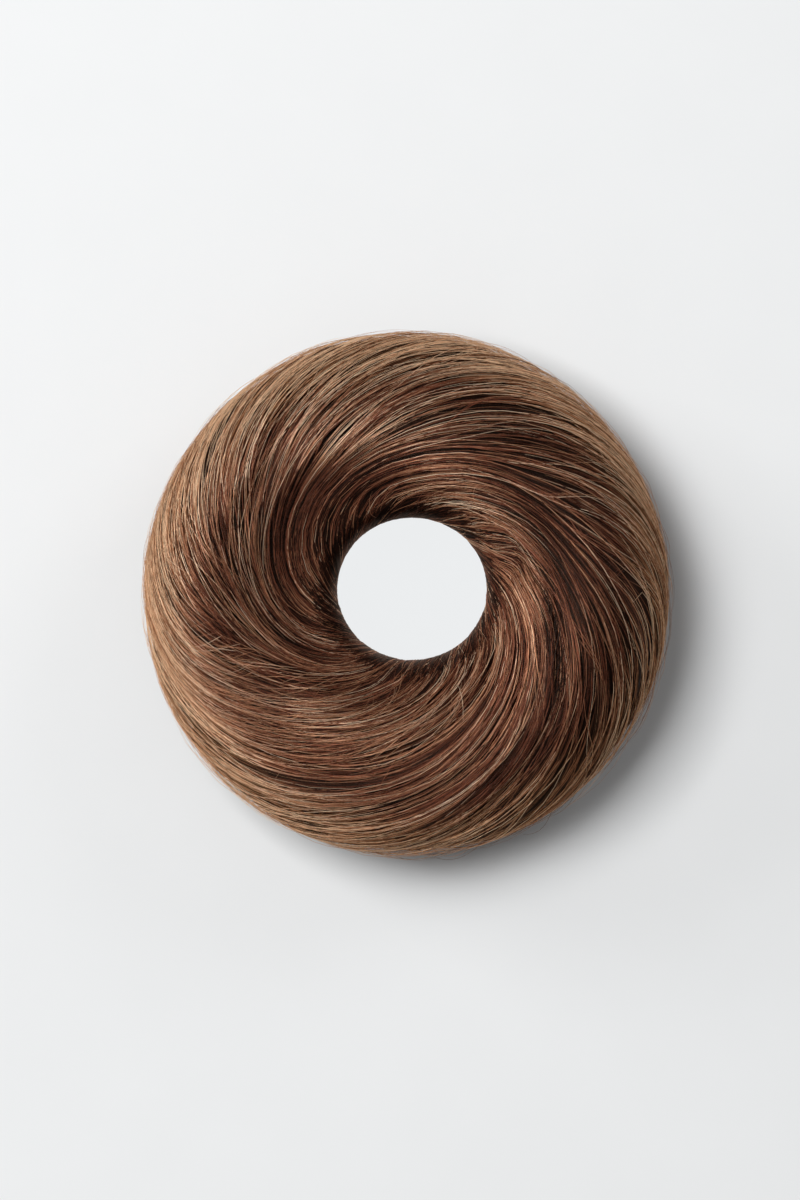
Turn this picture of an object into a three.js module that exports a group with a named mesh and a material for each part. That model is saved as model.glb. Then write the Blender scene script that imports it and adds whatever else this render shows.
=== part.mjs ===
// A ring hairpiece for a top knot: wefts of hair wound once round a padded ring, worn over a ponytail.
// Millimetres, +Z up. The origin is in the middle of the ring, on the surface that it rests on.
// Angles round the ring are in degrees, clockwise from +X as seen from above, which is the way that
// the hair winds from the hole outwards. Angles round the tube are in degrees too: 180 faces the hole,
// 90 is the crest, 0 is the rim and -90 is the underside, where each weft begins and ends.
import * as THREE from "three";

// Driving dimensions, in millimetres
const OUTER_DIAMETER = 100;
const HOLE_WIDTH = 28.4; // along X
const HOLE_LENGTH = 27; // along Y
const HOLE_SHIFT_X = 1;
const HOLE_SHIFT_Y = 1;
const RING_HEIGHT = 34;
const SETTLED_DEPTH = 1; // how far the underside is pressed flat by resting
const HAIR_DEPTH = 6;
const CLEARANCE = 0.3; // between neighbouring wefts
const END_CLEARANCE = 0.8; // between the wefts' starts and ends, before their facets narrow it
const PADDING_CLEARANCE = 0.6; // between the hair and the core, before their facets narrow it

// How far a guide line turns round the ring from the rim's shoulder to its end, in degrees
const TAIL_LEAD = 80;

// Where the shoulders of the tube are, in degrees round the tube
const HOLE_SHOULDER = 150;
const CREST = 90;
const RIM_SHOULDER = 30;
const UNDERSIDE = -90;

// Guide lines that the hair follows, one between each lock and the next. crest is where the line
// crosses the crest. root, leadIn and leadOut are how far it turns, in degrees, from its start to the
// hole's shoulder, from there to the crest, and from the crest to the rim's shoulder. sink is how low
// the hair lies along the line at the crest, and furrow is the depth of the furrow that parts the two
// locks there, both as shares of HAIR_DEPTH.
const GUIDES = [
  { crest: 26, root: 66, leadIn: 54, leadOut: 50, sink: 0.12, furrow: 0.45 },
  { crest: 56, root: 64, leadIn: 66, leadOut: 60, sink: 0, furrow: 0.16 },
  { crest: 97, root: 56, leadIn: 76, leadOut: 62, sink: 0.05, furrow: 0.24 },
  { crest: 127, root: 48, leadIn: 66, leadOut: 42, sink: 0, furrow: 0.12 },
  { crest: 148, root: 42, leadIn: 46, leadOut: 36, sink: 0, furrow: 0.2 },
  { crest: 176, root: 40, leadIn: 50, leadOut: 42, sink: 0, furrow: 0.12 },
  { crest: 208, root: 42, leadIn: 60, leadOut: 50, sink: 0.34, furrow: 0.26 },
  { crest: 240, root: 52, leadIn: 70, leadOut: 50, sink: 0.5, furrow: 0.1 },
  { crest: 285, root: 50, leadIn: 98, leadOut: 44, sink: 0.16, furrow: 0.2 },
  { crest: 335, root: 56, leadIn: 95, leadOut: 34, sink: 0, furrow: 0.14 },
];
const LOCKS_PER_WEFT = 2;
const FULL_TURN = 360;

// Facets
const STEPS_ALONG_WEFT = 48;
const STEPS_ACROSS_LOCK = 4;
const CORE_STEPS_ROUND_RING = 48;
const CORE_STEPS_ROUND_TUBE = 16;

const radians = THREE.MathUtils.degToRad;

// Height of the tube's middle, and half its height, before the underside is pressed flat
const tubeHalfHeight = (RING_HEIGHT + SETTLED_DEPTH) / 2;
const tubeMiddle = RING_HEIGHT - tubeHalfHeight;

// A smooth curve through the knots that rises wherever they do: cubic pieces whose slope at a knot is
// the harmonic mean of the slopes on its two sides.
function risingCurve(knots, values, at) {
  const last = knots.length - 1;
  const slopeAfter = (i) =>
    (values[i + 1] - values[i]) / (knots[i + 1] - knots[i]);
  const slopeAt = (i) => {
    if (i === 0) return slopeAfter(0);
    if (i === last) return slopeAfter(last - 1);
    const before = slopeAfter(i - 1);
    const after = slopeAfter(i);
    return before * after > 0 ? (2 * before * after) / (before + after) : 0;
  };
  let i = 0;
  while (i < last - 1 && at > knots[i + 1]) i += 1;
  const width = knots[i + 1] - knots[i];
  const t = (at - knots[i]) / width;
  const rise = t * t * (3 - 2 * t);
  return (
    values[i] * (1 - rise) +
    values[i + 1] * rise +
    slopeAt(i) * width * t * (1 - t) * (1 - t) -
    slopeAt(i + 1) * width * t * t * (1 - t)
  );
}

// What read takes from a guide, at any place between the guides. Places are counted in guides round the
// ring, and the value grows by growth each time round.
function guideValue(read, place, growth) {
  const reach = 2;
  const first = Math.floor(place) - reach;
  const knots = [];
  const values = [];
  for (let i = first; i <= first + 2 * reach + 1; i += 1) {
    const row = THREE.MathUtils.euclideanModulo(i, GUIDES.length);
    const turns = Math.floor(i / GUIDES.length);
    knots.push(i);
    values.push(read(GUIDES[row]) + turns * growth);
  }
  return risingCurve(knots, values, place);
}

// Angle round the ring of the hair line at a place between the guides, where it passes tubeAngle
function hairAngle(place, tubeAngle) {
  const start = guideValue((g) => g.crest - g.leadIn - g.root, place, FULL_TURN);
  const hole = guideValue((g) => g.crest - g.leadIn, place, FULL_TURN);
  const crest = guideValue((g) => g.crest, place, FULL_TURN);
  const rim = guideValue((g) => g.crest + g.leadOut, place, FULL_TURN);
  const passed = [UNDERSIDE + FULL_TURN, HOLE_SHOULDER, CREST, RIM_SHOULDER, UNDERSIDE];
  const knots = passed.map((angle) => -angle);
  const values = [start, hole, crest, rim, rim + TAIL_LEAD];
  return risingCurve(knots, values, -tubeAngle);
}

// Distance from the ring's middle to the wall of the oval hole, in the direction of an angle. It is
// found where the hole is a circle of radius 1, with the direction and the shift scaled to match.
function holeReach(ringAngle) {
  const toCircle = new THREE.Vector2(2 / HOLE_WIDTH, 2 / HOLE_LENGTH);
  const along = new THREE.Vector2(Math.cos(radians(ringAngle)), -Math.sin(radians(ringAngle)));
  const shift = new THREE.Vector2(HOLE_SHIFT_X, HOLE_SHIFT_Y).multiply(toCircle);
  const run = along.multiply(toCircle);
  const scale = run.length();
  const aside = run.cross(shift) / scale;
  return (run.dot(shift) / scale + Math.sqrt(1 - aside ** 2)) / scale;
}

// A point of the tube, inset below its full surface. It never goes under the resting surface.
function tubePoint(ringAngle, tubeAngle, inset) {
  const innerReach = holeReach(ringAngle);
  const middleReach = (OUTER_DIAMETER / 2 + innerReach) / 2;
  const tubeHalfWidth = (OUTER_DIAMETER / 2 - innerReach) / 2;
  const reach = middleReach + (tubeHalfWidth - inset) * Math.cos(radians(tubeAngle));
  const height = tubeMiddle + (tubeHalfHeight - inset) * Math.sin(radians(tubeAngle));
  return new THREE.Vector3(
    reach * Math.cos(radians(ringAngle)),
    -reach * Math.sin(radians(ringAngle)),
    Math.max(height, 0),
  );
}

// How far the hair's surface lies below the full tube. It sinks from guide to guide over the top half,
// and a furrow runs along each guide, deepest on the line and gone in the middle of a lock. Both fade
// out at the hole's wall and at the rim, which keep smooth outlines.
function surfaceDepth(place, tubeAngle) {
  const slope = Math.sin(radians(tubeAngle));
  const nearest = Math.round(place);
  const guide = GUIDES[THREE.MathUtils.euclideanModulo(nearest, GUIDES.length)];
  const furrow = guide.furrow * (1 - 2 * Math.abs(place - nearest)) ** 2;
  const sink = guideValue((g) => g.sink, place, 0);
  return HAIR_DEPTH * (furrow * Math.abs(slope) + sink * Math.max(slope, 0));
}

// Turn round the ring that keeps a side of a weft clear of its guide by half the clearance, where the
// side's edge is inset by this much
function sideTurnAt(place, tubeAngle, inset) {
  const probe = 1;
  const ringAngle = hairAngle(place, tubeAngle);
  const here = tubePoint(ringAngle, tubeAngle, inset);
  const onward = tubePoint(hairAngle(place, tubeAngle - probe), tubeAngle - probe, inset);
  const aside = tubePoint(ringAngle + probe, tubeAngle, inset);
  const run = onward.sub(here).normalize();
  const distancePerTurn = aside.sub(here).cross(run).length() / probe;
  return CLEARANCE / 2 / distancePerTurn;
}

// The larger of the turns that the inner and outer edges of a weft's side need
function sideTurn(place, tubeAngle) {
  return Math.max(sideTurnAt(place, tubeAngle, 0), sideTurnAt(place, tubeAngle, HAIR_DEPTH));
}

// One closed solid from a grid of sections. Each section runs across the outside and back across the
// inside, so a strip of quads closes each end. The outside's quads are split along one diagonal and
// the others along the other one, which is the shorter for a band that winds this way, and which gives
// the facing sides of two neighbours the same facets.
function bandSolid(outside, inside) {
  const positions = [];
  const triangles = [];
  const across = outside[0].length;
  const around = 2 * across;
  outside.forEach((row, i) => {
    [...row, ...[...inside[i]].reverse()].forEach((p) => positions.push(p.x, p.y, p.z));
  });
  const quad = (a, b, c, d) => triangles.push(a, b, c, a, c, d);
  for (let i = 0; i + 1 < outside.length; i += 1) {
    for (let j = 0; j < around; j += 1) {
      const next = (j + 1) % around;
      const row = i * around;
      const corners = [row + j, row + next, row + around + next, row + around + j];
      if (j < across) quad(corners[1], corners[2], corners[3], corners[0]);
      else quad(...corners);
    }
  }
  const tail = (outside.length - 1) * around;
  for (let j = 0; j + 1 < across; j += 1) {
    const back = around - 1 - j;
    quad(j, back, back - 1, j + 1);
    quad(tail + j, tail + j + 1, tail + back - 1, tail + back);
  }
  const geometry = new THREE.BufferGeometry();
  geometry.setAttribute("position", new THREE.Float32BufferAttribute(positions, 3));
  geometry.setIndex(triangles);
  geometry.computeVertexNormals();
  return geometry;
}

// A weft: its locks side by side, wound once round the core from the underside to the underside
function weftGeometry(firstGuide) {
  const lastGuide = firstGuide + LOCKS_PER_WEFT;
  const stepsAcross = LOCKS_PER_WEFT * STEPS_ACROSS_LOCK;
  const halfGapTurn = THREE.MathUtils.radToDeg(END_CLEARANCE / 2 / (tubeHalfHeight - HAIR_DEPTH));
  const outside = [];
  const inside = [];
  for (let i = 0; i <= STEPS_ALONG_WEFT; i += 1) {
    const share = i / STEPS_ALONG_WEFT;
    const tubeAngle = THREE.MathUtils.lerp(
      UNDERSIDE + FULL_TURN - halfGapTurn,
      UNDERSIDE + halfGapTurn,
      share,
    );
    const outerRow = [];
    const innerRow = [];
    for (let j = 0; j <= stepsAcross; j += 1) {
      const place = firstGuide + j / STEPS_ACROSS_LOCK;
      let ringAngle = hairAngle(place, tubeAngle);
      if (j === 0) ringAngle += sideTurn(firstGuide, tubeAngle);
      if (j === stepsAcross) ringAngle -= sideTurn(lastGuide, tubeAngle);
      outerRow.push(tubePoint(ringAngle, tubeAngle, surfaceDepth(place, tubeAngle)));
      innerRow.push(tubePoint(ringAngle, tubeAngle, HAIR_DEPTH));
    }
    outside.push(outerRow);
    inside.push(innerRow);
  }
  return bandSolid(outside, inside);
}

// The padded ring that the wefts are wound round
function coreGeometry() {
  const positions = [];
  const triangles = [];
  for (let i = 0; i < CORE_STEPS_ROUND_RING; i += 1) {
    for (let j = 0; j < CORE_STEPS_ROUND_TUBE; j += 1) {
      const ringAngle = (i * FULL_TURN) / CORE_STEPS_ROUND_RING;
      const tubeAngle = (j * FULL_TURN) / CORE_STEPS_ROUND_TUBE;
      const p = tubePoint(ringAngle, tubeAngle, HAIR_DEPTH + PADDING_CLEARANCE);
      positions.push(p.x, p.y, p.z);
      const row = i * CORE_STEPS_ROUND_TUBE;
      const nextRow = ((i + 1) % CORE_STEPS_ROUND_RING) * CORE_STEPS_ROUND_TUBE;
      const next = (j + 1) % CORE_STEPS_ROUND_TUBE;
      triangles.push(row + j, row + next, nextRow + next);
      triangles.push(row + j, nextRow + next, nextRow + j);
    }
  }
  const geometry = new THREE.BufferGeometry();
  geometry.setAttribute("position", new THREE.Float32BufferAttribute(positions, 3));
  geometry.setIndex(triangles);
  geometry.computeVertexNormals();
  return geometry;
}

const hair = new THREE.MeshStandardMaterial({ color: 0x5b3c2b, roughness: 0.45, metalness: 0 });
const padding = new THREE.MeshStandardMaterial({ color: 0x2a1c15, roughness: 0.9, metalness: 0 });

const hairpiece = new THREE.Group();

const core = new THREE.Mesh(coreGeometry(), padding);
core.name = "core_ring";
hairpiece.add(core);

for (let guide = 0; guide < GUIDES.length; guide += LOCKS_PER_WEFT) {
  const weft = new THREE.Mesh(weftGeometry(guide), hair);
  weft.name = `weft_${guide / LOCKS_PER_WEFT + 1}`;
  hairpiece.add(weft);
}

export default hairpiece;
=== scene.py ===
"""A ring of combed brown hair for a top knot, lying on a pale floor and seen from straight above.

Metres, +Z up. Angles round the ring are in degrees, clockwise from +X as seen from above, which is the
way that the hair winds. Angles round the tube are in degrees too: the hair starts under the ring at 270,
comes up through the hole at 180, passes the crest at 90 and the rim at 0, and ends under it at -90.
"""

import bpy
import numpy as np
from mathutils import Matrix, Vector


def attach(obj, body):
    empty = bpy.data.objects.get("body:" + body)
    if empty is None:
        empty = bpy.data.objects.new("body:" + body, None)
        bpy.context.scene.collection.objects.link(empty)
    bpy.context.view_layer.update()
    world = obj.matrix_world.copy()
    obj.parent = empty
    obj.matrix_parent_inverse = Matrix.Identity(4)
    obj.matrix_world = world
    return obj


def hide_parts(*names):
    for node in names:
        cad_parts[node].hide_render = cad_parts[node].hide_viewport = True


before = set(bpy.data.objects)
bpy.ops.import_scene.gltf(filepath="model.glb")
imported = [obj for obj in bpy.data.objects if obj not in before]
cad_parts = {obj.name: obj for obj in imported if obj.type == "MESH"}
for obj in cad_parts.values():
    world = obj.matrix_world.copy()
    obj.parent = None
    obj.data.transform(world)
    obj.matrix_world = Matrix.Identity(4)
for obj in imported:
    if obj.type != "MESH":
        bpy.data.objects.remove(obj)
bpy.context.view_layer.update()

# The ring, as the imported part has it
OUTER_DIAMETER = 0.100
HOLE_WIDTH = 0.0284
HOLE_LENGTH = 0.027
HOLE_SHIFT = (0.001, 0.001)
RING_HEIGHT = 0.034
SETTLED_DEPTH = 0.001
HAIR_DEPTH = 0.006
TAIL_LEAD = 80
HOLE_SHOULDER = 150
CREST = 90
RIM_SHOULDER = 30
UNDERSIDE = -90
FULL_TURN = 360
LOCKS_PER_WEFT = 2
WEFTS = 5

# Guide lines between the locks: where each crosses the crest, how far it turns from its start to the
# hole's shoulder, from there to the crest and from the crest to the rim's shoulder, in degrees, how low
# the hair lies along it at the crest, and the depth of its furrow, both as shares of HAIR_DEPTH
GUIDES = np.array([
    (26, 66, 54, 50, 0.12, 0.45),
    (56, 64, 66, 60, 0, 0.16),
    (97, 56, 76, 62, 0.05, 0.24),
    (127, 48, 66, 42, 0, 0.12),
    (148, 42, 46, 36, 0, 0.2),
    (176, 40, 50, 42, 0, 0.12),
    (208, 42, 60, 50, 0.34, 0.26),
    (240, 52, 70, 50, 0.5, 0.1),
    (285, 50, 98, 44, 0.16, 0.2),
    (335, 56, 95, 34, 0, 0.14),
])
crest_turn, root, lead_in, lead_out, sink, furrow = GUIDES.T

half_height = (RING_HEIGHT + SETTLED_DEPTH) / 2
middle_height = RING_HEIGHT - half_height

# The photograph's frame
PHOTO_WIDTH = 800
PHOTO_HEIGHT = 1200
RING_WIDTH_PIXELS = 524
PIXEL = OUTER_DIAMETER / RING_WIDTH_PIXELS
RING_MIDDLE_PIXEL = (406.8, 594.0)
CAMERA_DISTANCE = 1.5
SENSOR = 36.0  # millimetres, as Blender has it


def add_camera():
    """The camera looks straight down through a long lens, with the photograph's frame at mid height."""
    data = bpy.data.cameras.new("camera")
    data.sensor_width = SENSOR
    data.lens = SENSOR * CAMERA_DISTANCE / (PHOTO_HEIGHT * PIXEL)
    data.clip_end = 20
    camera = bpy.data.objects.new("camera", data)
    camera.location = (
        (PHOTO_WIDTH / 2 - RING_MIDDLE_PIXEL[0]) * PIXEL,
        (RING_MIDDLE_PIXEL[1] - PHOTO_HEIGHT / 2) * PIXEL,
        middle_height + CAMERA_DISTANCE,
    )
    bpy.context.scene.collection.objects.link(camera)
    bpy.context.scene.camera = camera


def add_softbox(name, bearing, elevation, distance, size, power):
    """A square softbox that faces the ring. Its bearing is in degrees anticlockwise from +X as seen from
    above, and its elevation in degrees above the floor."""
    turn, rise = np.radians([bearing, elevation])
    place = Vector((np.cos(turn) * np.cos(rise), np.sin(turn) * np.cos(rise), np.sin(rise))) * distance
    data = bpy.data.lights.new(name, "AREA")
    data.shape = "SQUARE"
    data.size = size
    data.energy = power
    lamp = bpy.data.objects.new(name, data)
    lamp.location = place
    lamp.rotation_euler = (-place).to_track_quat("-Z", "Y").to_euler()
    bpy.context.scene.collection.objects.link(lamp)


def add_daylight(strength):
    """An even, slightly cool white all round."""
    world = bpy.data.worlds.new("daylight")
    world.use_nodes = True
    world.node_tree.nodes["Background"].inputs["Color"].default_value = (0.99, 0.995, 1.0, 1.0)
    world.node_tree.nodes["Background"].inputs["Strength"].default_value = strength
    bpy.context.scene.world = world


class Value:
    """A number or colour that varies over a surface. Its arithmetic adds Math nodes."""

    def __init__(self, finish, socket):
        self.finish = finish
        self.socket = socket

    def maths(self, operation, first, second):
        return self.finish.node("ShaderNodeMath", {"operation": operation}, {0: first, 1: second})

    def __add__(self, other):
        return self.maths("ADD", self, other)

    def __radd__(self, other):
        return self.maths("ADD", other, self)

    def __sub__(self, other):
        return self.maths("SUBTRACT", self, other)

    def __rsub__(self, other):
        return self.maths("SUBTRACT", other, self)

    def __mul__(self, other):
        return self.maths("MULTIPLY", self, other)

    def __rmul__(self, other):
        return self.maths("MULTIPLY", other, self)

    def __pow__(self, other):
        return self.maths("POWER", self, other)


class Finish:
    """A material under construction."""

    def __init__(self, name, roughness, specular=0.5):
        self.material = bpy.data.materials.new(name)
        self.material.use_nodes = True
        self.tree = self.material.node_tree
        self.shader = self.tree.nodes["Principled BSDF"]
        self.shader.inputs["Roughness"].default_value = roughness
        self.shader.inputs["Specular IOR Level"].default_value = specular

    def node(self, kind, settings, inputs, output=0):
        """Adds a node of this type, applies its settings, then sets or links its sockets. A setting
        named stops is a ramp's list of (position, colour)."""
        made = self.tree.nodes.new(kind)
        for key, value in settings.items():
            if key == "stops":
                self.set_stops(made.color_ramp, value)
            else:
                setattr(made, key, value)
        for key, value in inputs.items():
            if isinstance(value, Value):
                self.tree.links.new(value.socket, made.inputs[key])
            else:
                made.inputs[key].default_value = value
        return Value(self, made.outputs[output])

    def set_stops(self, ramp, stops):
        while len(ramp.elements) < len(stops):
            ramp.elements.new(1.0)
        for element, (position, colour) in zip(ramp.elements, stops):
            element.position = position
            element.color = (*colour, 1.0)

    def feed(self, socket, value):
        self.tree.links.new(value.socket, self.shader.inputs[socket])

    def ramp(self, value, stops):
        return self.node("ShaderNodeValToRGB", {"stops": stops}, {"Fac": value})

    def mix(self, share, first, second):
        return self.node("ShaderNodeMix", {"data_type": "RGBA"}, {0: share, 6: first, 7: second}, 2)

    def noise(self, vector, scale, detail, roughness=0.5):
        sockets = {"Vector": vector, "Scale": scale, "Detail": detail, "Roughness": roughness}
        return self.node("ShaderNodeTexNoise", {}, sockets)

    def stretched(self, vector, scale):
        return self.node("ShaderNodeMapping", {}, {"Vector": vector, "Scale": scale})

    def own_map(self):
        return self.node("ShaderNodeUVMap", {"uv_map": HAIR_MAP}, {})

    def axes(self, vector):
        """The three numbers of a vector."""
        first = self.node("ShaderNodeSeparateXYZ", {}, {"Vector": vector})
        outputs = first.socket.node.outputs
        return [Value(self, outputs[name]) for name in "XYZ"]


HAIR_MAP = "OFBake"

# Hair colours from the darkest strand to the palest
HAIR_TONES = [
    (0.00, (0.013, 0.007, 0.005)),
    (0.20, (0.030, 0.014, 0.010)),
    (0.42, (0.104, 0.034, 0.020)),
    (0.62, (0.280, 0.096, 0.054)),
    (0.82, (0.620, 0.325, 0.178)),
    (1.00, (1.000, 0.770, 0.550)),
]
COPPER = (0.44, 0.11, 0.045, 1.0)
# The gold near the rim is painted light, for the glow of light through the thin hair there
GOLD = (0.76, 0.40, 0.18, 1.0)
WARM = (1.0, 0.75, 0.59, 1.0)
SHEEN = 0.5  # of what a strand reflects, coloured
RIM_SHARE = 0.75  # of the way along the hair, where it passes the rim
RIM_GLOW_REACH = 0.03  # the square of the share of the way over which the gold fades
RIM_GLOW_MOST = 0.7
EVEN_TONE = 0.38  # which the gold makes neither lighter nor darker
STRAND_HUES = (90.0, 2.0, 1.0)  # how fine the change of hue is across the strands and along them
BED_STREAKS = (170.0, 3.0, 1.0)
BED_TONE = 0.42


def strand_finish():
    """Each strand's tone is its place across the map, and its way along the hair is the place up it.
    Neighbouring tones differ in hue, from ash to copper, and strands turn golden near the rim, painted
    light for the glow through the thin hair there. Half of what they reflect is a coloured sheen, as on
    hair, which lets some of the light in and out again."""
    finish = Finish("hair_strands", roughness=0.37, specular=0.3)
    finish.shader.inputs["Metallic"].default_value = SHEEN
    finish.shader.inputs["Specular Tint"].default_value = WARM
    place = finish.own_map()
    tone, along, _ = finish.axes(place)
    from_rim = (along - RIM_SHARE) ** 2
    # painted light: the glow through the thin hair near the rim
    golden = finish.node(
        "ShaderNodeMapRange",
        {"interpolation_type": "SMOOTHSTEP"},
        {"Value": from_rim, "From Min": RIM_GLOW_REACH, "From Max": 0.0, "To Max": RIM_GLOW_MOST},
    )
    colour = finish.ramp(tone + golden * (tone - EVEN_TONE), HAIR_TONES)
    hue = finish.noise(finish.stretched(place, STRAND_HUES), 1.0, 1.0)
    copper = finish.node(
        "ShaderNodeMapRange", {}, {"Value": hue, "From Min": 0.5, "From Max": 0.75, "To Max": 0.7}
    )
    colour = finish.mix(copper * tone, colour, COPPER)
    colour = finish.mix(0.8 * golden * tone, colour, GOLD)
    finish.feed("Base Color", colour)
    return finish.material


def bed_finish():
    """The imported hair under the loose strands: fine streaks that run the way of the hair, with the
    same noise as their relief."""
    finish = Finish("hair_bed", roughness=0.6, specular=0.15)
    finish.shader.inputs["Specular Tint"].default_value = WARM
    place = finish.own_map()
    streaks = finish.noise(finish.stretched(place, BED_STREAKS), 1.0, 3.0, 0.6)
    tone = finish.node("ShaderNodeMapRange", {}, {"Value": streaks, "From Min": 0.3, "From Max": 0.8})
    finish.feed("Base Color", finish.ramp(tone * BED_TONE, HAIR_TONES))
    relief = finish.node(
        "ShaderNodeBump", {}, {"Height": streaks, "Strength": 0.5, "Distance": 0.0004}
    )
    finish.feed("Normal", relief)
    return finish.material


def padding_finish():
    """Dark knitted padding, with rows of small loops."""
    finish = Finish("knitted_padding", roughness=0.9)
    place = finish.node("ShaderNodeTexCoord", {}, {}, 3)
    loops = finish.node(
        "ShaderNodeTexWave",
        {"wave_type": "BANDS", "bands_direction": "Z"},
        {"Vector": place, "Scale": 300.0, "Distortion": 3.0, "Detail": 1.0},
    )
    finish.feed("Base Color", finish.mix(loops, (0.02, 0.012, 0.008, 1), (0.045, 0.028, 0.02, 1)))
    finish.feed("Normal", finish.node("ShaderNodeBump", {}, {"Height": loops, "Distance": 0.0005}))
    return finish.material


# Painted light: the floor glows inside the hole, where the ring would shade it
GLOW = (0.83, 0.845, 0.855, 1)
GLOW_REACH = 0.024  # from the hole's middle, under the ring all round


def floor_finish():
    """Matt pale paper with a faint tooth. Inside the hole it glows, painted light that keeps it as bright
    and even as all round, without the ring's shade."""
    finish = Finish("pale_paper", roughness=0.85, specular=0.2)
    place = finish.node("ShaderNodeTexCoord", {}, {}, 3)
    tooth = finish.noise(place, 60.0, 4.0)
    paper = finish.mix(tooth, (0.78, 0.79, 0.795, 1), (0.80, 0.81, 0.815, 1))
    from_hole = finish.node(
        "ShaderNodeVectorMath", {"operation": "DISTANCE"}, {0: place, 1: (*HOLE_SHIFT, 0)}, 1
    )
    sockets = {"Value": from_hole, "From Min": GLOW_REACH, "From Max": 0.9 * GLOW_REACH}
    glow = finish.node("ShaderNodeMapRange", {}, sockets)
    finish.feed("Base Color", finish.mix(glow, paper, (0, 0, 0, 1)))
    finish.feed("Emission Color", finish.mix(glow, (0, 0, 0, 1), GLOW))
    finish.shader.inputs["Emission Strength"].default_value = 1.0
    return finish.material


def smooth(t):
    """Eases from 0 to 1, level at both ends."""
    return t * t * (3 - 2 * t)


def rising_curve(knots, values, at):
    """A smooth curve through the knots that rises wherever they do, read at many places at once: each
    stretch is a cubic whose slope at a knot is the harmonic mean of the slopes on its two sides, or
    none where they differ in sign. values has a row for each knot, and one column or as many columns as
    there are places."""
    widths = np.diff(knots)
    slopes = np.diff(values, axis=0) / widths[:, None]
    before, after = slopes[:-1], slopes[1:]
    rises = before * after > 0
    mean = 2 * before * after / np.where(rises, before + after, 1)
    at_knot = np.vstack([slopes[:1], np.where(rises, mean, 0), slopes[-1:]])
    i = np.clip(np.searchsorted(knots, at) - 1, 0, len(widths) - 1)
    j = np.arange(len(at)) if values.shape[1] > 1 else 0
    t = (at - knots[i]) / widths[i]
    rise = smooth(t)
    bend = at_knot[i, j] * t * (1 - t) ** 2 - at_knot[i + 1, j] * t * t * (1 - t)
    return values[i, j] * (1 - rise) + values[i + 1, j] * rise + bend * widths[i]


def guide_value(column, place, growth):
    """A column of the guides at any place between them, larger by growth each time round the ring."""
    knots = np.arange(-4, len(column) + 5)
    values = column[knots % len(column)] + growth * (knots // len(column))
    return rising_curve(knots, values[:, None], place)


def hair_angle(place, tube):
    """The angle round the ring of the hair line at this place between the guides, where it passes this
    angle round the tube. The arrays have one shape."""
    flat = place.ravel()
    start = guide_value(crest_turn - lead_in - root, flat, FULL_TURN)
    hole = guide_value(crest_turn - lead_in, flat, FULL_TURN)
    crest = guide_value(crest_turn, flat, FULL_TURN)
    rim = guide_value(crest_turn + lead_out, flat, FULL_TURN)
    knots = -np.array([UNDERSIDE + FULL_TURN, HOLE_SHOULDER, CREST, RIM_SHOULDER, UNDERSIDE])
    values = np.array([start, hole, crest, rim, rim + TAIL_LEAD])
    return rising_curve(knots, values, -tube.ravel()).reshape(place.shape)


def hole_reach(ring):
    """From the ring's middle to the wall of the oval hole, by scaling the oval to a circle of radius 1."""
    to_circle = np.array([2 / HOLE_WIDTH, 2 / HOLE_LENGTH])
    turn = np.radians(ring)
    run = np.stack([np.cos(turn), -np.sin(turn)], -1) * to_circle
    shift = np.array(HOLE_SHIFT) * to_circle
    scale = np.linalg.norm(run, axis=-1)
    aside = (run[..., 0] * shift[1] - run[..., 1] * shift[0]) / scale
    return ((run @ shift) / scale + np.sqrt(1 - aside**2)) / scale


def tube_point(ring, tube, inset, lowest=0.0):
    """Points of the tube, an ellipse from the hole's wall to the rim and as high as the ring, inset
    below its surface. None goes under the height lowest."""
    inner = hole_reach(ring)
    outer = OUTER_DIAMETER / 2
    turn, roll = np.radians(ring), np.radians(tube)
    reach = (outer + inner) / 2 + ((outer - inner) / 2 - inset) * np.cos(roll)
    height = middle_height + (half_height - inset) * np.sin(roll)
    return np.stack([reach * np.cos(turn), -reach * np.sin(turn), np.maximum(height, lowest)], -1)


# Painted shade in hollows between the locks, which lie lower too, and painted highlights on glossy places:
# the angle round the ring and round the tube, how far each reaches in both, and its change of tone
PAINTED_SHADE_AND_HIGHLIGHTS = [
    (200, 113, 42, 34, -0.30),
    (246, 126, 28, 24, -0.20),
    (350, 102, 48, 18, -0.27),
    (338, 140, 14, 13, -0.32),
    (58, 58, 42, 28, -0.11),
    (142, 84, 44, 26, -0.22),
    (218, 80, 22, 8, -0.18),
    (294, 140, 22, 16, 0.22),
    (247, 89, 26, 16, 0.20),
    (214, 36, 70, 32, 0.17),
    (248, 30, 24, 22, 0.12),
    (350, 42, 34, 26, 0.10),
]
HOLLOW_DEPTH = 0.008  # for a change of tone of one
WALL_START = 135  # round the tube, where the hair begins to lie tight
PARTING = 0.36  # of a guide's furrow, from the guide to the nearest hair

# How the locks pass over one another. The leans and reaches between guides are shares of the way from
# one guide to the next.
LAP = 0.006
LAP_REACH = 0.14
LEANS = [0.16, -0.12, 0.2, 0.04, -0.14, 0.1, -0.2, 0.16, -0.06, 0.12]
LEAN_REACH = 40  # degrees round the tube
UNDERLAP = 0.004  # how much lower a strand lies for each step past its own lock
UNDERLAP_REACH = 0.2


def at_wall(tube):
    """0 over the top and 1 on the hole's wall, where the hair lies tight and even."""
    return smooth(np.clip((tube - WALL_START) / (HOLE_SHOULDER - WALL_START), 0, 1))


def painted_light(place, tube):
    """The painted change of tone: a bell of painted shade for each hollow and of painted highlight for
    each glossy place, which fades out round it.
    """
    ring = hair_angle(place, tube)
    total = np.zeros(place.shape)
    for ring_middle, tube_middle, ring_reach, tube_reach, change in PAINTED_SHADE_AND_HIGHLIGHTS:
        round_ring = (ring - ring_middle + FULL_TURN / 2) % FULL_TURN - FULL_TURN / 2
        off = (round_ring / ring_reach) ** 2 + ((tube - tube_middle) / tube_reach) ** 2
        total += change * np.exp(-off)
    return total


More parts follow.
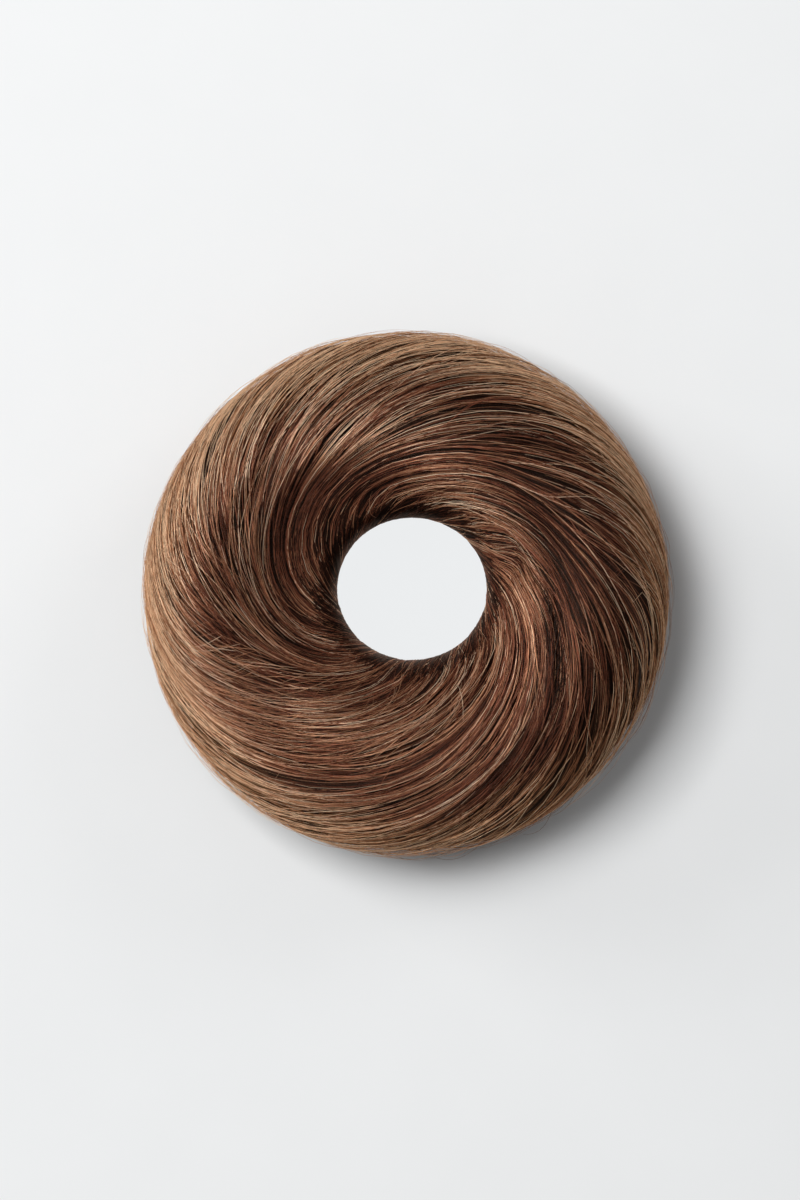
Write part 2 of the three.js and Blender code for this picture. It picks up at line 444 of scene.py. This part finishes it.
def surface_depth(place, tube):
    """How far the hair's surface lies below the full tube. It sinks from guide to guide over the top
    half, and a furrow along each guide is deepest on the line and gone in the middle of a lock. Both
    fade out at the hole's wall and at the rim. The hollows lie lower too."""
    slope = np.sin(np.radians(tube))
    nearest = np.round(place)
    row = nearest.astype(int) % len(GUIDES)
    cut = furrow[row] * (1 - 2 * np.abs(place - nearest)) ** 2
    dip = guide_value(sink, place.ravel(), 0).reshape(place.shape)
    hollow = HOLLOW_DEPTH * np.maximum(-painted_light(place, tube), 0)
    loose = 1 - at_wall(tube)
    return HAIR_DEPTH * (cut * np.abs(slope) * loose + dip * np.maximum(slope, 0)) + hollow * loose


def parted(place, tube):
    """Places moved away from the nearest guide, by a share of its furrow that fades towards the hole's
    wall and the rim, so that the locks part there. The middle of a lock stays where it is."""
    nearest = np.round(place)
    off = place - nearest
    fade = np.sqrt(np.abs(np.sin(np.radians(tube)))) * (1 - at_wall(tube))
    gap = PARTING * furrow[nearest.astype(int) % len(GUIDES)] * fade
    return nearest + np.sign(off) * (gap + (1 - 2 * gap) * np.abs(off))


def lapped(place, tube):
    """How much lower the hair just past a guide lies near the hole, where the lock before it passes over
    it: the most at the guides with the deepest furrows."""
    past = place - np.floor(place)
    row = np.floor(place).astype(int) % len(GUIDES)
    near_hole = np.clip((tube - CREST) / (HOLE_SHOULDER - CREST), 0, 1)
    return LAP * furrow[row] ** 2 * np.exp(-past / LAP_REACH) * near_hole


def leaning(lean, tube):
    """How far a lock has swung over towards the next guide, by its lean: nothing at the crest, back
    towards the hole and forward towards the rim."""
    return lean * np.tanh((CREST - tube) / LEAN_REACH)


def tube_angle(along):
    """The angle round the tube, from the share of the way along the hair."""
    return UNDERSIDE + FULL_TURN * (1 - along)


WIDTH_STEPS = 1400


def width_table():
    """Places between the guides, and how wide the hair up to each is across the crest, measured square
    to the way that it runs."""
    places = np.linspace(-2, len(GUIDES) + 2, WIDTH_STEPS + 1)
    crest = np.full_like(places, CREST)
    here = tube_point(hair_angle(places, crest), crest, 0)
    onward = tube_point(hair_angle(places, crest - 1), crest - 1, 0) - here
    onward /= np.linalg.norm(onward, axis=1)[:, None]
    step = np.diff(here, axis=0)
    step -= (step * onward[1:]).sum(1)[:, None] * onward[1:]
    width = np.concatenate([[0], np.cumsum(np.linalg.norm(step, axis=1))])
    return places, width - np.interp(0, places, width)


place_knots, width_knots = width_table()


def place_of(width):
    """The place between the guides, from the width of the hair up to it."""
    return np.interp(width, width_knots, place_knots)


def width_of(place):
    """How wide the hair up to this place is."""
    return np.interp(place, place_knots, width_knots)


def drift(draw, count, knots, along, row=None):
    """Smooth random curves: numbers from -1 to 1 at evenly spaced knots, joined by smoothsteps. There
    are count of them, and each row of along reads its own or, where row is given, the one that it
    names. A row between two whole numbers blends its two neighbours, by a smoothstep too."""
    values = draw.uniform(-1, 1, (count + 1, knots))
    if row is None:
        row = np.arange(count)
    at = np.clip(along, 0, 1) * (knots - 1)
    left = np.minimum(at.astype(int), knots - 2)
    rise = smooth(at - left)
    near = np.floor(row).astype(int)[:, None]
    blend = smooth(row[:, None] - near)
    here = values[near, left] * (1 - rise) + values[near, left + 1] * rise
    beside = values[near + 1, left] * (1 - rise) + values[near + 1, left + 1] * rise
    return here * (1 - blend) + beside * blend


def unit(vectors):
    """The same directions, each with a length of one."""
    return vectors / np.linalg.norm(vectors, axis=-1, keepdims=True)


SIDES = 3
TONE_WIDTH = 0.004  # of the map, that a strand takes across it


class Mesh:
    """Points, faces of three or four corners and their places on the map, gathered from several parts."""

    def __init__(self):
        self.points = []
        self.corners = []
        self.sizes = []
        self.map = []
        self.count = 0

    def add(self, points, faces, places):
        """Adds points (n, 3) with faces (m, k) that count from them, and map places (m, k, 2)."""
        if points is not None:
            self.start = self.count
            self.points.append(points.reshape(-1, 3))
            self.count += len(self.points[-1])
        self.corners.append((faces + self.start).ravel())
        self.sizes.append(np.full(len(faces), faces.shape[1]))
        self.map.append(places.reshape(-1, 2))

    def build(self, name, material):
        """Makes the object, at the origin, smooth shaded, with its map."""
        sizes = np.concatenate(self.sizes)
        mesh = bpy.data.meshes.new(name)
        mesh.vertices.add(self.count)
        mesh.vertices.foreach_set("co", np.concatenate(self.points).astype(np.float32).ravel())
        mesh.loops.add(int(sizes.sum()))
        mesh.loops.foreach_set("vertex_index", np.concatenate(self.corners).astype(np.int32))
        mesh.polygons.add(len(sizes))
        starts = np.cumsum(sizes) - sizes
        mesh.polygons.foreach_set("loop_start", starts.astype(np.int32))
        mesh.update(calc_edges=True)
        layer = mesh.uv_layers.new(name=HAIR_MAP)
        layer.data.foreach_set("uv", np.concatenate(self.map).astype(np.float32).ravel())
        mesh.shade_smooth()
        mesh.materials.append(material)
        piece = bpy.data.objects.new(name, mesh)
        bpy.context.scene.collection.objects.link(piece)
        return piece


def add_strands(mesh, place, along, inset, lift, radius, tone):
    """Adds closed three-sided tubes, one a row. Each follows the hair line at its place between the
    guides, inset below the tube's surface and above the height lift, with one edge facing outwards.
    All the arrays have a row for each strand and a column for each ring of the tube."""
    count, rings = place.shape
    tube = tube_angle(along)
    ring = hair_angle(place, tube)
    centre = tube_point(ring, tube, inset, lift)
    onward = unit(np.gradient(centre, axis=1))
    out = tube_point(ring, tube, inset - OUTER_DIAMETER / 100, -OUTER_DIAMETER)
    out -= tube_point(ring, tube, inset, -OUTER_DIAMETER)
    out = unit(out - (out * onward).sum(-1, keepdims=True) * onward)
    aside = np.cross(onward, out)
    side = np.arange(SIDES)
    turn = 2 * np.pi * side / SIDES
    spoke = out[:, :, None] * np.cos(turn)[:, None] + aside[:, :, None] * np.sin(turn)[:, None]
    points = centre[:, :, None] + spoke * radius[:, :, None, None]

    first = (np.arange(count) * rings * SIDES)[:, None, None]
    row = (np.arange(rings - 1) * SIDES)[None, :, None]
    here = first + row
    after = (side + 1) % SIDES
    quads = np.stack([here + side, here + side + SIDES, here + after + SIDES, here + after], -1)
    across = tone[:, :, None] + TONE_WIDTH * np.arange(SIDES + 1) / SIDES
    low = np.broadcast_to(along[:, :-1, None], (count, rings - 1, SIDES))
    high = np.broadcast_to(along[:, 1:, None], low.shape)
    near, far = across[:, :-1], across[:, 1:]
    u = np.stack([near[..., :-1], far[..., :-1], far[..., 1:], near[..., 1:]], -1)
    v = np.stack([low, high, high, low], -1)
    mesh.add(points, quads.reshape(-1, 4), np.stack([u, v], -1))

    start = first[:, 0] + np.array([0, 1, 2])
    end = first[:, 0] + (rings - 1) * SIDES + np.array([2, 1, 0])
    for cap, ring in ((start, 0), (end, -1)):
        u = across[:, ring, [0, 2, 1]]
        v = along[:, ring, None] + np.array([0, 0, TONE_WIDTH])
        mesh.add(None, cap, np.stack([u, v], -1))


NEAR_END_WIDTH = 0.6
NEAR_END_LENGTH = 0.125


def tapered(radius, rings, tip):
    """Radii along strands that narrow to the share tip at the far end, and a little at the near end."""
    t = np.linspace(0, 1, rings)
    far = tip + (1 - tip) * (1 - t**4)
    near = NEAR_END_WIDTH + (1 - NEAR_END_WIDTH) * np.minimum(t / NEAR_END_LENGTH, 1)
    return radius[:, None] * far * near


# The strands that make up the wisps. Places along the hair are shares of its way.
WISP_SPACING = 0.0005
CLUMP_WIDTH = 0.0019
STRANDS_PER_WISP = 15
STRAND_RINGS = 34
STRAND_RADIUS = 0.000054
STRAND_WIDTHS = (0.7, 1.2)  # of STRAND_RADIUS
STRAND_TIP = 0.3
STRAND_STARTS = (0.14, 0.24)
STRAND_ENDS = (0.81, 0.95)
STRAND_LIFTS = (0.0001, 0.0009)  # above the floor

# How far the clumps, the wisps and single strands wander sideways
CLUMP_SWAY = 0.0011
WISP_SWAY = 0.00045
WISP_RADIUS = 0.00032
WISP_SPREAD = 0.5  # by how much of it a wisp widens and narrows
ROAMING_SHARE = 0.34
ROAM = 0.0022
ORDERLY_ROAM = 0.0002
FRIZZ = 0.00013

# How deep they lie below the hair's surface, and how far that varies
WISP_DEPTH = 0.0009
CLUMP_RELIEF = 0.0007
WISP_RELIEF = 0.0003
WISP_THICKNESS = 0.0002
STRAND_RELIEF = 0.00006
LEAST_DEPTH = 0.00005
WALL_INSET = 0.00014
WALL_THICKNESS = 0.0001

# Their tones, on the scale of HAIR_TONES. Pale strands are wider too.
BASE_TONE = 0.205
CLUMP_TONE = 0.13
WISP_TONE = 0.08
STRAND_TONE = 0.17
TONE_DRIFT = 0.12
PALE_SHARE = 0.11
PALE_TONE = 0.52
PALE_WIDTH = 0.45
# Painted shade: strands are darker the lower they lie, for the shade among the hair
PAINTED_DEPTH_SHADE = 240  # how much darker hair is for each metre that it lies lower
LOW_SHADE = 0.7  # of that, where the whole lock lies lower
EVEN_DEPTH = 0.0006  # at which the tone stays as it is
# painted shade on the hair that lies tight on the hole's wall
PAINTED_WALL_SHADE = 0.09
TONE_LIMITS = (0.02, 0.97)


def body_strands(draw, lock, mesh):
    """Strands gathered in wisps, which run from under the ring up through the hole and over to the rim.
    A field over the whole lock gathers and spreads the wisps sideways, so that they merge and part, and
    another raises and lowers them. Each strand keeps its place in its wisp's round section, apart from
    those that roam."""
    low, high = width_of(np.array([lock, lock + 1]))
    wisps = round((high - low) / WISP_SPACING)
    count = wisps * STRANDS_PER_WISP
    wisp = np.repeat(np.arange(wisps), STRANDS_PER_WISP)
    middle = (wisp + 0.5) * WISP_SPACING
    clumps = int((high - low) / CLUMP_WIDTH) + 1
    clump = middle / CLUMP_WIDTH
    start = draw.uniform(*STRAND_STARTS, count)
    end = draw.uniform(*STRAND_ENDS, count)
    along = start[:, None] + (end - start)[:, None] * np.linspace(0, 1, STRAND_RINGS)
    tube = tube_angle(along)

    turn = draw.uniform(0, 2 * np.pi, count)[:, None]
    reach = np.sqrt(draw.uniform(0, 1, count))[:, None]
    spread = 1.0 + WISP_SPREAD * drift(draw, wisps, 6, along, wisp)
    roam = np.where(draw.uniform(0, 1, count) < ROAMING_SHARE, ROAM, ORDERLY_ROAM)[:, None]
    width = low + middle[:, None] + CLUMP_SWAY * drift(draw, clumps, 8, along, clump)
    width = width + WISP_SWAY * drift(draw, wisps, 10, along, wisp)
    width = width + WISP_RADIUS * spread * reach * np.cos(turn)
    width = width + roam * drift(draw, count, 6, along) + FRIZZ * drift(draw, count, 16, along)
    inside = place_of(width)
    place = parted(inside + leaning(LEANS[lock], tube), tube)
    beyond = np.maximum(np.abs(place - lock - 0.5) - 0.5, 0)

    low_lying = surface_depth(place, tube) + lapped(place, tube)
    low_lying = low_lying + UNDERLAP * np.minimum(beyond, UNDERLAP_REACH)
    depth = WISP_DEPTH + CLUMP_RELIEF * drift(draw, clumps, 7, along, clump)
    depth = depth + WISP_RELIEF * drift(draw, wisps, 9, along, wisp)
    depth = depth - WISP_THICKNESS * reach * np.sin(turn) + STRAND_RELIEF * drift(draw, count, 9, along)
    tight = at_wall(tube)
    inset = low_lying + np.maximum(depth, LEAST_DEPTH) * (1 - tight)
    inset = inset + (WALL_INSET + WALL_THICKNESS * reach * np.sin(turn)) * tight
    lift = np.broadcast_to(draw.uniform(*STRAND_LIFTS, count)[:, None], inset.shape)
    pale = draw.uniform(0, 1, count) < PALE_SHARE
    own_width = draw.uniform(*STRAND_WIDTHS, count) * (1 + PALE_WIDTH * pale)
    radius = tapered(STRAND_RADIUS * own_width, STRAND_RINGS, STRAND_TIP)

    own = WISP_TONE * draw.normal(0, 1, wisps)[wisp] + STRAND_TONE * draw.normal(0, 1, count)
    own = own + PALE_TONE * pale
    tone = BASE_TONE + own[:, None] + CLUMP_TONE * drift(draw, clumps, 5, along, clump)
    # painted shade of the hollows and painted highlights of the glossy places
    tone = tone + TONE_DRIFT * drift(draw, count, 8, along) + painted_light(place, tube)
    # painted shade where the hair lies lower
    tone = tone - PAINTED_DEPTH_SHADE * (LOW_SHADE * low_lying + depth - EVEN_DEPTH) * (1 - tight)
    # painted shade on the hole's wall
    tone = tone - PAINTED_WALL_SHADE * tight
    add_strands(mesh, place, along, inset, lift, radius, np.clip(tone, *TONE_LIMITS))


# The longer strands on top
STRAYS_PER_LOCK = 140
STRAYS_PER_WISP = 7
STRAY_RINGS = 24
STRAY_LENGTHS = (0.20, 0.52)
STRAY_MIDDLES = (0.12, 0.90)
STRAY_WISP_MIDDLES = (0.2, 0.8)
STRAY_SHIFT = 0.04
STRAY_ENDS = (0.08, 0.92)
STRAY_SWAY = 0.0042
STRAY_SPREAD = 0.00045
STRAY_FRIZZ = 0.00025
STRAY_DEPTH = 0.0001
STRAY_RELIEF = 0.00016
STRAY_WALL_INSET = 0.00015
STRAY_LIFTS = (0.0001, 0.0005)
STRAY_WIDTHS = (0.7, 1.3)
STRAY_TIP = 0.25
STRAY_TONE = 0.67
STRAY_TONE_SPREAD = 0.2
STRAY_TONE_LIMITS = (0.1, 0.985)


def stray_strands(draw, lock, mesh):
    """Longer strands on top, mostly lighter, which cross the wisps at a slight angle. Half of them run
    in thin wisps of their own and the others run singly."""
    low, high = width_of(np.array([lock, lock + 1]))
    count = STRAYS_PER_LOCK
    wisps = count // STRAYS_PER_WISP
    wisp = np.arange(count) % wisps
    single = np.arange(count) < count // 2
    middle = np.where(single, draw.uniform(0, 1, count), draw.uniform(0, 1, wisps)[wisp])
    own_way = draw.uniform(*STRAY_MIDDLES, count)
    shared_way = draw.uniform(*STRAY_WISP_MIDDLES, wisps)[wisp]
    halfway = np.where(single, own_way, shared_way)
    length = draw.uniform(*STRAY_LENGTHS, count)
    start = halfway - length / 2 + draw.uniform(-STRAY_SHIFT, STRAY_SHIFT, count)
    start = np.clip(start, STRAY_ENDS[0], STRAY_ENDS[1] - length)
    along = start[:, None] + length[:, None] * np.linspace(0, 1, STRAY_RINGS)
    sway = STRAY_SWAY * drift(draw, count, 5, along)
    shared = STRAY_SWAY * drift(draw, wisps, 6, along, wisp) + STRAY_SPREAD * drift(draw, count, 4, along)
    width = (low + (high - low) * middle)[:, None] + np.where(single[:, None], sway, shared)
    width = width + STRAY_FRIZZ * drift(draw, count, 13, along)
    place = place_of(width)
    tube = tube_angle(along)
    inset = surface_depth(place, tube) + STRAY_DEPTH + STRAY_RELIEF * drift(draw, count, 6, along)
    inset = inset + STRAY_WALL_INSET * at_wall(tube)
    lift = np.broadcast_to(draw.uniform(*STRAY_LIFTS, count)[:, None], inset.shape)
    radius = tapered(STRAND_RADIUS * draw.uniform(*STRAY_WIDTHS, count), STRAY_RINGS, STRAY_TIP)
    own = STRAY_TONE + STRAY_TONE_SPREAD * draw.normal(0, 1, count)
    # painted shade of the hollows and painted highlights of the glossy places
    tone = own[:, None] + painted_light(place, tube)
    add_strands(mesh, place, along, inset, lift, radius, np.clip(tone, *STRAY_TONE_LIMITS))


# The fine hairs that lift off near the rim, or lie across the others
FINE_HAIR_RINGS = 10
FINE_HAIR_TIP = 0.3
FINE_HAIR_LIFT = 0.0003  # above the floor
FINE_TONE_LIMITS = (0.2, 0.985)
FLYAWAYS_PER_LOCK = 110
FLYAWAY_LENGTHS = (0.03, 0.23)
FLYAWAY_MIDDLES = (0.55, 0.86)
FLYAWAY_SWAY = 0.002
FLYAWAY_HEIGHT = 0.0009
LOOSE_HEIGHT = 0.0016
LOOSE_SIDE = 55  # degrees round the ring, where the most hairs stand off
FLYAWAY_WIDTHS = (0.45, 0.7)
FLYAWAY_TONE = 0.66
# painted shade on the hairs on the side away from the light
PAINTED_AWAY_SIDE_SHADE = 0.26
FLYAWAY_TONE_SPREAD = 0.14


def flyaway_hairs(draw, lock, mesh):
    """Fine pale hairs that lift off near the rim: each leaves the surface, stands off by its own
    height, the most on the side away from the light, and bends back to it."""
    low, high = width_of(np.array([lock, lock + 1]))
    count = FLYAWAYS_PER_LOCK
    shortest, longest = FLYAWAY_LENGTHS
    length = shortest + (longest - shortest) * draw.uniform(0, 1, count) ** 2
    start = draw.uniform(*FLYAWAY_MIDDLES, count) - length / 2
    t = np.linspace(0, 1, FINE_HAIR_RINGS)
    along = start[:, None] + length[:, None] * t
    width = draw.uniform(low, high, count)[:, None] + FLYAWAY_SWAY * drift(draw, count, 4, along)
    place = place_of(width)
    tube = tube_angle(along)
    ring = hair_angle(place, tube)
    loose = np.maximum(np.cos(np.radians(ring[:, -1] - LOOSE_SIDE)), 0) ** 3
    height = draw.uniform(0.1, 1.0, count) ** 2 * (FLYAWAY_HEIGHT + LOOSE_HEIGHT * loose)
    inset = surface_depth(place, tube) - height[:, None] * np.sin(np.pi * np.minimum(t * 0.8, 1))
    lift = np.full_like(inset, FINE_HAIR_LIFT)
    own_width = draw.uniform(*FLYAWAY_WIDTHS, count)
    radius = tapered(STRAND_RADIUS * own_width, FINE_HAIR_RINGS, FINE_HAIR_TIP)
    # painted shade: the hairs on the side away from the light are darker
    tone = FLYAWAY_TONE - PAINTED_AWAY_SIDE_SHADE * loose + FLYAWAY_TONE_SPREAD * draw.normal(0, 1, count)
    tone = tone[:, None] + np.zeros(FINE_HAIR_RINGS)
    add_strands(mesh, place, along, inset, lift, radius, np.clip(tone, *FINE_TONE_LIMITS))


# Where short bright hairs cross the others: the weft whose loose hair they join, counted from 0, how
# many they are, between which guides and from which shares of the way along they start, and how far
# they slant over
CROSSINGS = [
    (0, 80, (-0.9, 0.7), (0.31, 0.38), 0.15),
    (1, 230, (2.0, 4.6), (0.37, 0.56), -0.3),
    (2, 70, (4.4, 6.4), (0.40, 0.54), 0.25),
]
CROSSING_LENGTHS = (0.05, 0.11)
SLANT_SPREAD = 0.2
CROSSING_SWAY = 0.08  # of the way between two guides
CROSSING_HEIGHTS = (-0.0001, 0.0004)
CROSSING_WIDTHS = (0.65, 0.95)
CROSSING_TONE = 0.79
CROSSING_TONE_SPREAD = 0.12


def crossing_hairs(draw, mesh, count, places, starts, slant):
    """Short bright hairs that lie across the others."""
    t = np.linspace(0, 1, FINE_HAIR_RINGS)
    along = draw.uniform(*starts, count)[:, None] + draw.uniform(*CROSSING_LENGTHS, count)[:, None] * t
    across = draw.normal(slant, SLANT_SPREAD, count)[:, None] * t
    straight = draw.uniform(*places, count)[:, None] + across
    place = straight + CROSSING_SWAY * drift(draw, count, 4, along)
    tube = tube_angle(along)
    height = draw.uniform(*CROSSING_HEIGHTS, count)[:, None] * np.sin(np.pi * t)
    inset = surface_depth(place, tube) - height
    lift = np.full_like(inset, FINE_HAIR_LIFT)
    own_width = draw.uniform(*CROSSING_WIDTHS, count)
    radius = tapered(STRAND_RADIUS * own_width, FINE_HAIR_RINGS, FINE_HAIR_TIP)
    own = CROSSING_TONE + CROSSING_TONE_SPREAD * draw.normal(0, 1, count)
    tone = own[:, None] + np.zeros(FINE_HAIR_RINGS)
    add_strands(mesh, place, along, inset, lift, radius, np.clip(tone, *FINE_TONE_LIMITS))


# The bed of packed hair
BED_DEPTH = 0.0019  # how far it lies below the hair's outer surface
BED_WALL_SHARE = 0.25  # of that depth, at the hole's wall
BED_THICKNESS = 0.001
BED_OVERLAP = 0.03  # over the next weft, of the way between two guides
BED_REACH = (0.002, 0.998)
BED_RIDGE = 0.00012
BED_EDGE_DROP = 0.0002  # of the outer surface, at both edges
BED_LIFT = 0.0003  # above the floor
BED_END = 0.02  # of the map's height, for the fan over each end
BED_STEPS_ACROSS = 48
BED_STEPS_BACK = 6
BED_STEPS_ALONG = 80


def add_bed(mesh, weft):
    """A closed band: a ridged outer surface under the strands and a plain inner one, wound once round
    the tube, with a fan of triangles over each end. The ridges are two waves across the band that swing
    from side to side along it."""
    first = weft * LOCKS_PER_WEFT
    out = np.linspace(first - BED_OVERLAP, first + LOCKS_PER_WEFT + BED_OVERLAP, BED_STEPS_ACROSS + 1)
    back = np.linspace(out[-1], out[0], BED_STEPS_BACK + 1)
    place = np.concatenate([out, back])[None, :]
    along = np.linspace(*BED_REACH, BED_STEPS_ALONG + 1)[:, None]
    place, along = np.broadcast_arrays(place, along)
    tube = tube_angle(along)
    width = width_of(place) / CLUMP_WIDTH
    ridges = np.sin(5.3 * width + 2.0 * np.sin(9 * along)) + np.sin(3.1 * width - 3.0 * np.sin(7 * along))
    from_middle = np.abs(place - first - LOCKS_PER_WEFT / 2) / (LOCKS_PER_WEFT / 2 + BED_OVERLAP)
    loose = 1 - at_wall(tube)
    depth = BED_DEPTH * (BED_WALL_SHARE + (1 - BED_WALL_SHARE) * loose) + BED_RIDGE * ridges * loose
    inset = surface_depth(place, tube) + depth + BED_EDGE_DROP * (1 + loose) * from_middle**20
    inset[:, len(out):] += BED_THICKNESS
    points = tube_point(hair_angle(place, tube), tube, inset, BED_LIFT)
    rows, columns = place.shape
    i = np.arange(rows - 1)[:, None] * columns
    j = np.arange(columns)[None, :]
    after = (j + 1) % columns
    quads = np.stack(np.broadcast_arrays(i + j, i + j + columns, i + after + columns, i + after), -1)
    level = BED_END + (1 - 2 * BED_END) * along
    low = level[:-1, :]
    high = level[1:, :]
    left = np.broadcast_to(j / columns, low.shape)
    right = np.broadcast_to((j + 1) / columns, low.shape)
    u = np.stack([left, left, right, right], -1)
    v = np.stack([low, high, high, low], -1)
    ends = np.stack([points[0].mean(0), points[-1].mean(0)])
    mesh.add(np.concatenate([points.reshape(-1, 3), ends]), quads.reshape(-1, 4), np.stack([u, v], -1))
    hub = rows * columns
    for row, fan, edge_level, tip in ((0, hub, BED_END, 0), (rows - 1, hub + 1, 1 - BED_END, 1)):
        edge = row * columns + np.stack([j[0], after[0]], -1)
        if row:
            edge = edge[:, ::-1]
        fans = np.column_stack([np.full(columns, fan), edge])
        u = np.column_stack([(j[0] + 0.5) / columns, j[0] / columns, (j[0] + 1) / columns])
        v = np.column_stack([np.full(columns, float(tip)), np.full((columns, 2), edge_level)])
        mesh.add(None, fans, np.stack([u, v], -1))


FLOOR_WIDTH = 6.0


def add_floor():
    """A wide flat sheet of paper that the ring rests on."""
    half = FLOOR_WIDTH / 2
    mesh = bpy.data.meshes.new("floor")
    mesh.from_pydata([(-half, -half, 0), (half, -half, 0), (half, half, 0), (-half, half, 0)], [],
                     [(0, 1, 2, 3)])
    mesh.materials.append(floor_finish())
    floor = bpy.data.objects.new("floor", mesh)
    bpy.context.scene.collection.objects.link(floor)


add_camera()
add_daylight(strength=0.16)
add_softbox("key_softbox", bearing=149, elevation=65, distance=1.9, size=0.9, power=32)
add_softbox("window_softbox", bearing=152, elevation=24, distance=1.5, size=0.6, power=6)
add_softbox("side_softbox", bearing=42, elevation=30, distance=1.4, size=0.6, power=2.5)
bpy.context.scene.view_settings.view_transform = "Standard"
add_floor()

SEED = 7
strands = strand_finish()
bed = bed_finish()
draw = np.random.default_rng(SEED)
for weft in range(WEFTS):
    layers = {"bed": Mesh()}
    add_bed(layers["bed"], weft)
    loose = Mesh()
    for side in range(LOCKS_PER_WEFT):
        lock = weft * LOCKS_PER_WEFT + side
        layers[f"lock_{side + 1}"] = Mesh()
        body_strands(draw, lock, layers[f"lock_{side + 1}"])
        stray_strands(draw, lock, loose)
        flyaway_hairs(draw, lock, loose)
    for joined, *crossing in CROSSINGS:
        if joined == weft:
            crossing_hairs(draw, loose, *crossing)
    layers["loose"] = loose
    for layer, mesh in layers.items():
        piece = mesh.build(f"weft_{weft + 1}_{layer}", bed if layer == "bed" else strands)
        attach(piece, "root")
        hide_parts(f"weft_{weft + 1}")

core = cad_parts["core_ring"]
core.data.materials.clear()
core.data.materials.append(padding_finish())
